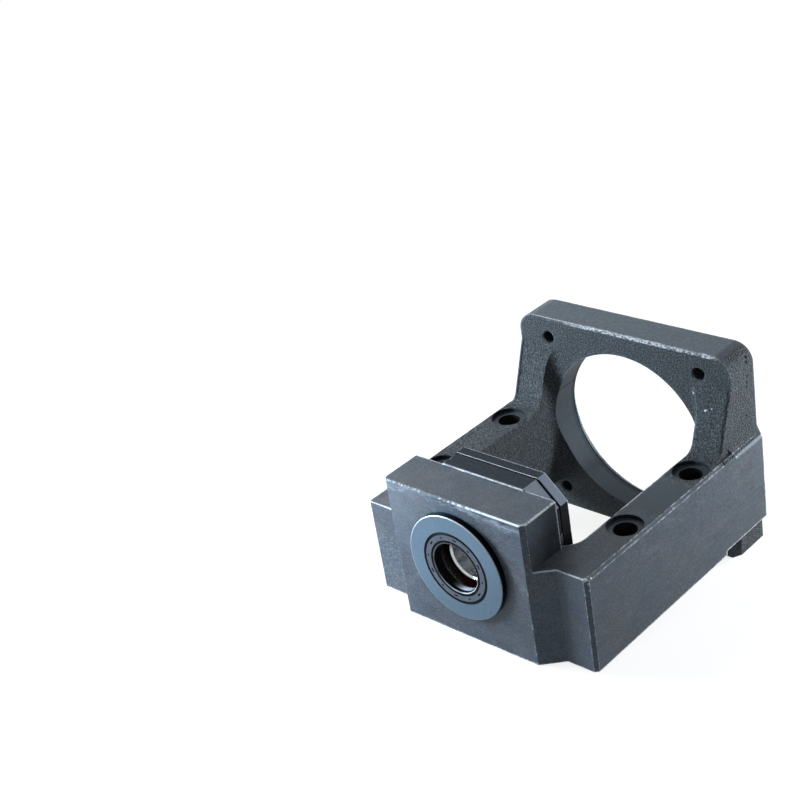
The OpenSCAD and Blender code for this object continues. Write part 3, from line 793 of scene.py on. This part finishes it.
def cover_edges(p, colour):
    """Bright edges, the gap against the boss made black with painted shade, and the light line that the gap
    has on top.
    """
    runs = p.noise(5 * MM, 4, 0.65)
    worn = p.rise(p.add(p.outer_edge(0.8 * MM), p.scaled(runs, -0.25, 0.25)), 0.22, 0.34)
    # Painted shade: the cover's front black where it meets the boss
    gap = p.both(p.rise(p.y, COVER_Y + 1.1 * MM, COVER_Y + 0.7 * MM), p.rise(p.nz, 0.9, 0.8))
    colour = p.blend(p.mul(worn, p.invert(gap)), colour, BARE_EDGE)
    colour = p.blend(p.both(gap, p.rise(p.y, COVER_Y + 0.9 * MM, COVER_Y + 0.5 * MM)), colour, SHADE_BLACK)
    top_line = p.both(
        p.rise(p.y, COVER_Y + 0.6 * MM, COVER_Y + 0.45 * MM), p.rise(p.nz, 0.2, 0.4),
        p.rise(p.z, BOSS_Z - 0.6 * MM, BOSS_Z - 0.2 * MM))
    return p.blend(p.mul(top_line, p.scaled(p.rise(runs, 0.4, 0.6), 0.5, 0.95)), colour, BARE_EDGE)


def holder_material():
    """Blued flange: even blue face, paler at the upper left with painted light, a worn rim with a painted
    highlight, and a black wall.
    """
    p = Paint("blued_steel_ring")
    off_axis = p.radius(p.x, p.z)
    clouds = p.noise(9 * MM, 4, 0.6)
    painted_light_upper_left = p.rise(p.sub(p.z, p.mul(p.x, 0.4)), -25 * MM, 10 * MM)
    colour = p.shade(p.blend(clouds, RING_DEEP, RING_PALE), p.scaled(p.noise(1.0 * MM, 3, 0.7), 0.7, 1.3))
    # Painted light: the face paler toward the upper left
    colour = p.shade(colour, p.scaled(painted_light_upper_left, 0.92, 1.18))
    face = p.rise(p.absolute(p.ny), 0.55, 0.8)
    black = p.invert(p.both(face, p.rise(off_axis, HOLDER_FACE_IN_R - 0.3 * MM, HOLDER_FACE_IN_R)))
    colour = holder_rim(p, p.blend(black, colour, RING_BLACK), off_axis)
    normal = p.bump(p.noise(0.3 * MM, 2, 0.5), 0.015 * MM, p.rounded(0.2 * MM))
    return p.finish(
        colour, p.scaled(clouds, 0.34, 0.46), normal, metallic=p.mul(black, 0.8), specular=0.3, tint=BLUED)


def holder_rim(p, colour, off_axis):
    """The flange's outer edge, worn all round, with a painted highlight along the rim that is brightest
    toward the upper left.
    """
    uneven = p.scaled(p.noise(1.6 * MM, 4, 0.65), -0.24, 0.24)
    at_face = p.both(
        p.rise(p.y, NOSE_Y - 3 * MM, NOSE_Y - 3.5 * MM), p.rise(off_axis, 25 * MM, 26 * MM))
    worn = p.mul(p.rise(p.add(p.outer_edge(0.9 * MM), uneven), 0.24, 0.38), at_face)
    highlight_side = p.scaled(p.rise(p.sub(p.z, p.x), -25 * MM, 25 * MM), 0.25, 1.0)
    # Painted highlight along the rim
    rim_highlight = p.both(
        p.near(off_axis, HOLDER_R - 0.3 * MM, 0.5 * MM), at_face, p.rise(uneven, -0.16, -0.04), highlight_side)
    return p.blend(p.mul(p.either(worn, rim_highlight), 0.8), colour, RING_WEAR_AND_HIGHLIGHT)


def seal_material():
    """Rubber over a steel case: dusty grey face, black beside it, bare metal at the lip, and a painted
    highlight on the case in the bore.
    """
    p = Paint("seal_rubber")
    clouds = p.noise(3 * MM, 5, 0.7)
    off_axis = p.radius(p.x, p.z)
    front_or_rear = p.either(
        p.rise(p.y, HOLDER_Y + 0.25 * MM, HOLDER_Y + 0.2 * MM), p.rise(p.y, 0.0, 1 * MM))
    face = p.both(
        front_or_rear, p.rise(p.absolute(p.ny), 0.6, 0.85),
        p.rise(off_axis, SEAL_FACE_IN_R - 0.2 * MM, SEAL_FACE_IN_R),
        p.rise(off_axis, SEAL_FACE_OUT_R + 0.2 * MM, SEAL_FACE_OUT_R))
    colour = p.blend(face, SEAL_BLACK, p.shade(SEAL_FACE, p.scaled(clouds, 0.6, 1.4)))
    dust = p.rise(p.noise(1.1 * MM, 4, 0.7), 0.56, 0.72)
    colour = seal_bare_metal_and_highlight(p, p.blend(p.both(face, dust), colour, SEAL_DUST), off_axis, clouds)
    normal = p.bump(clouds, 0.04 * MM, p.rounded(0.12 * MM))
    groove = p.both(front_or_rear, p.invert(face), p.rise(off_axis, GROOVE_R - 0.3 * MM, GROOVE_R))
    return p.finish(colour, p.scaled(clouds, 0.34, 0.5), normal, metallic=groove, specular=0.12)


def seal_bare_metal_and_highlight(p, colour, off_axis, clouds):
    """A thin worn line round the front lip, and a painted highlight on the case, low in the bore where light
    falls in.
    """
    lip = p.both(p.near(off_axis, LIP_R, 0.35 * MM), p.rise(p.y, HOLDER_Y + 2.5 * MM, HOLDER_Y + 2 * MM))
    broken = p.scaled(p.rise(p.noise(4 * MM, 3), 0.35, 0.55), 0.5, 0.9)
    colour = p.blend(p.both(lip, broken), colour, LIP_EDGE)
    # Painted highlight on the case
    case_highlight = p.both(
        p.rise(p.y, HOLDER_Y + 2 * MM, HOLDER_Y + 2.6 * MM), p.near(p.x, 1.5 * MM, 9 * MM),
        p.rise(p.z, -10 * MM, -12 * MM), p.rise(p.y, 0.0, -1 * MM))
    return p.blend(p.both(case_highlight, p.rise(clouds, 0.25, 0.5)), colour, CASE_HIGHLIGHT)


def ring_steel_material():
    """Ground bearing steel with fine turning lines."""
    p = Paint("bearing_ring_steel")
    streaks = p.noise(0.5 * MM, 3, 0.5, stretch=(1, 0.1, 1))
    clouds = p.noise(4 * MM, 4, 0.6)
    colour = p.shade(p.blend(clouds, STEEL_DARK, STEEL_PALE), p.scaled(streaks, 0.9, 1.1))
    normal = p.bump(streaks, 0.01 * MM, p.rounded(0.2 * MM))
    return p.finish(colour, p.scaled(clouds, 0.2, 0.34), normal, metallic=1.0)


def cage_material():
    """Fabric-filled phenolic in thin red-brown layers, darkened at the upper left with painted shade."""
    p = Paint("phenolic_cage")
    layers = p.noise(0.5 * MM, 3, 0.6, stretch=(1, 6, 1))
    weave = p.noise(0.8 * MM, 2, 0.5)
    # Painted shade at the upper left
    painted_shade_upper_left = p.rise(p.sub(p.z, p.x), -12 * MM, -2 * MM)
    colour = p.shade(p.blend(layers, PHENOLIC_DARK, PHENOLIC_PALE), p.scaled(weave, 0.75, 1.2))
    colour = p.shade(colour, p.sub(1.0, p.mul(painted_shade_upper_left, 0.85)))
    normal = p.bump(layers, 0.03 * MM, p.rounded(0.15 * MM))
    return p.finish(colour, p.scaled(layers, 0.45, 0.65), normal, specular=0.25)


def screw_material():
    """Black-oxided screws, bare on the rims of head and socket."""
    p = Paint("black_screw")
    mottle = p.noise(1 * MM, 4, 0.6)
    worn = p.rise(p.add(p.outer_edge(0.4 * MM), p.scaled(mottle, -0.15, 0.15)), 0.26, 0.45)
    colour = p.blend(worn, p.blend(mottle, SCREW_DARK, SCREW_PALE), SCREW_WORN)
    normal = p.bump(mottle, 0.04 * MM, p.rounded(0.15 * MM))
    return p.finish(colour, p.scaled(mottle, 0.3, 0.45), normal, specular=0.4)


def dress_all():
    dress(bracket_material(), "bracket")
    dress(cover_material(), "rear_cover")
    dress(holder_material(), "seal_holder")
    dress(seal_material(), "front_seal", "rear_seal")
    dress(ring_steel_material(), "front_outer_ring", "front_inner_ring", "rear_outer_ring", "rear_inner_ring",
          "front_balls", "rear_balls", "front_seal_spring", "rear_seal_spring", "rear_collar")
    dress(cage_material(), "front_cage", "rear_cage")
    dress(screw_material(), "cover_screws")


# ------------------------------------------------------ floor, lamps, camera

FLOOR_HALF = 1.6
NOSE_FOOT = Vector((0, NOSE_Y, -47 * MM))
PLATE_FOOT = Vector((0, PLATE_Y, -64 * MM))
TILT = math.atan2(NOSE_FOOT.z - PLATE_FOOT.z, PLATE_FOOT.y - NOSE_FOOT.y)
UP = Vector((0, math.sin(TILT), math.cos(TILT)))

FLOOR_SHADOW = (0.3, 0.3, 0.3, 1)
FLOOR_BOUNCE = (0.35, 0.36, 0.38, 1)
FLOOR_GLOW = 0.85  # near the object, where the lamps' light on the floor adds the rest
FLOOR_GLOW_FAR = 1.0
FLOOR_NEAR, FLOOR_FAR = 0.3, 0.9  # metres from the floor's middle
ROOM = (0.96, 0.98, 1.0, 1)
ROOM_STRENGTH = 0.18
WHITE = (1, 1, 1, 1)

# Name, place, what it aims at, side in metres, watts and colour
SOFTBOXES = (
    ("left_front", (-0.40, -0.20, 0.14), (0, 0.03, 0), 0.22, 5.6, (0.78, 0.91, 1.03)),
    ("right_back", (0.32, 0.52, 0.05), (0.05, 0.10, 0), 0.2, 3.0, (0.90, 0.97, 1.03)),
    ("left_high", (-0.55, 0.25, 0.65), (0, 0.08, 0), 0.4, 2.05, (1.0, 0.97, 0.94)),
)

# The camera, solved from the bracket's corners and circles; angles in degrees, lens and sensor in mm
CAMERA_PLACE = Vector((0.48867, -0.47831, 0.46088))
AZIMUTH = 48.0
ELEVATION = 28.05
ROLL = -10.407
LENS = 70.56
SENSOR = 36
SHIFT = (0.0126, 0.0048)
CLIP_START = 0.01


def seen_directly(tree):
    """1 for camera, glossy and transmission rays, and 0 for the rest."""
    path = tree.nodes.new("ShaderNodeLightPath")
    total = path.outputs["Is Camera Ray"]
    for name in ("Is Glossy Ray", "Is Transmission Ray"):
        node = tree.nodes.new("ShaderNodeMath")
        node.operation = "MAXIMUM"
        tree.links.new(total, node.inputs[0])
        tree.links.new(path.outputs[name], node.inputs[1])
        total = node.outputs[0]
    return total


def mix_by_sight(tree, unseen, seen, out):
    """Lets one shader light the object, and shows the other to the eye and in gloss."""
    pick = tree.nodes.new("ShaderNodeMixShader")
    tree.links.new(seen_directly(tree), pick.inputs[0])
    tree.links.new(unseen.outputs[0], pick.inputs[1])
    tree.links.new(seen.outputs[0], pick.inputs[2])
    tree.links.new(pick.outputs[0], out.inputs["Surface"])


def floor_glow(tree):
    """White light of the floor, dimmer near the object, where the lamps add the rest."""
    place = tree.nodes.new("ShaderNodeTexCoord")
    away = tree.nodes.new("ShaderNodeVectorMath")
    away.operation = "LENGTH"
    fade = tree.nodes.new("ShaderNodeMapRange")
    ends = (FLOOR_NEAR, FLOOR_FAR, FLOOR_GLOW, FLOOR_GLOW_FAR)
    for name, end in zip(("From Min", "From Max", "To Min", "To Max"), ends):
        fade.inputs[name].default_value = end
    white = tree.nodes.new("ShaderNodeEmission")
    tree.links.new(place.outputs["Object"], away.inputs[0])
    tree.links.new(away.outputs["Value"], fade.inputs["Value"])
    tree.links.new(fade.outputs["Result"], white.inputs["Strength"])
    return white


def floor_material():
    """White to the eye, apart from the object's shadow, and a grey bounce to the object."""
    material = bpy.data.materials.new("studio_floor")
    material.use_nodes = True
    tree = material.node_tree
    tree.nodes.clear()
    out = tree.nodes.new("ShaderNodeOutputMaterial")
    shadow = tree.nodes.new("ShaderNodeBsdfDiffuse")
    bounce = tree.nodes.new("ShaderNodeBsdfDiffuse")
    shadow.inputs["Color"].default_value = FLOOR_SHADOW
    bounce.inputs["Color"].default_value = FLOOR_BOUNCE
    seen = tree.nodes.new("ShaderNodeAddShader")
    tree.links.new(shadow.outputs[0], seen.inputs[0])
    tree.links.new(floor_glow(tree).outputs[0], seen.inputs[1])
    mix_by_sight(tree, bounce, seen, out)
    return material


def make_floor():
    """A plane through the lower edges of the nose and of the plate, on which the bracket stands."""
    mesh = bpy.data.meshes.new("studio_floor")
    h = FLOOR_HALF
    mesh.from_pydata([(-h, -h, 0), (h, -h, 0), (h, h, 0), (-h, h, 0)], [], [(0, 1, 2, 3)])
    floor = bpy.data.objects.new("studio_floor", mesh)
    floor.matrix_world = Matrix.Translation(NOSE_FOOT - UP * 0.2 * MM) @ Matrix.Rotation(-TILT, 4, "X")
    bpy.context.scene.collection.objects.link(floor)
    mesh.materials.append(floor_material())


def make_world():
    """A dim room that lights the object, and white where the eye meets it."""
    world = bpy.data.worlds.new("studio")
    world.use_nodes = True
    bpy.context.scene.world = world
    tree = world.node_tree
    tree.nodes.clear()
    out = tree.nodes.new("ShaderNodeOutputWorld")
    room = tree.nodes.new("ShaderNodeBackground")
    white = tree.nodes.new("ShaderNodeBackground")
    room.inputs["Color"].default_value = ROOM
    room.inputs["Strength"].default_value = ROOM_STRENGTH
    white.inputs["Color"].default_value = WHITE
    white.inputs["Strength"].default_value = 1.0
    mix_by_sight(tree, room, white, out)


def make_softbox(name, place, aim, size, power, colour):
    """A square soft lamp at place, turned to aim and out of the camera's own sight."""
    light = bpy.data.lights.new(name, "AREA")
    light.energy = power
    light.size = size
    light.color = colour
    lamp = bpy.data.objects.new(name, light)
    lamp.location = place
    lamp.rotation_euler = (Vector(place) - Vector(aim)).to_track_quat("Z", "Y").to_euler()
    lamp.visible_camera = False
    bpy.context.scene.collection.objects.link(lamp)


def make_camera():
    azimuth, elevation, roll = (math.radians(a) for a in (AZIMUTH, ELEVATION, ROLL))
    forward = Vector((
        -math.sin(azimuth) * math.cos(elevation),
        math.cos(azimuth) * math.cos(elevation),
        -math.sin(elevation),
    ))
    level = forward.cross(Vector((0, 0, 1))).normalized()
    upright = level.cross(forward)
    right = level * math.cos(roll) + upright * math.sin(roll)
    up = right.cross(forward)
    data = bpy.data.cameras.new("photo_view")
    data.lens = LENS
    data.sensor_width = SENSOR
    data.shift_x, data.shift_y = SHIFT
    data.clip_start = CLIP_START
    camera = bpy.data.objects.new("photo_view", data)
    turn = Matrix((right, up, -forward)).transposed().to_4x4()
    camera.matrix_world = Matrix.Translation(CAMERA_PLACE) @ turn
    bpy.context.scene.collection.objects.link(camera)
    bpy.context.scene.camera = camera


dress_all()
make_floor()
make_world()
for softbox in SOFTBOXES:
    make_softbox(*softbox)
make_camera()
bpy.context.scene.view_settings.view_transform = "Standard"
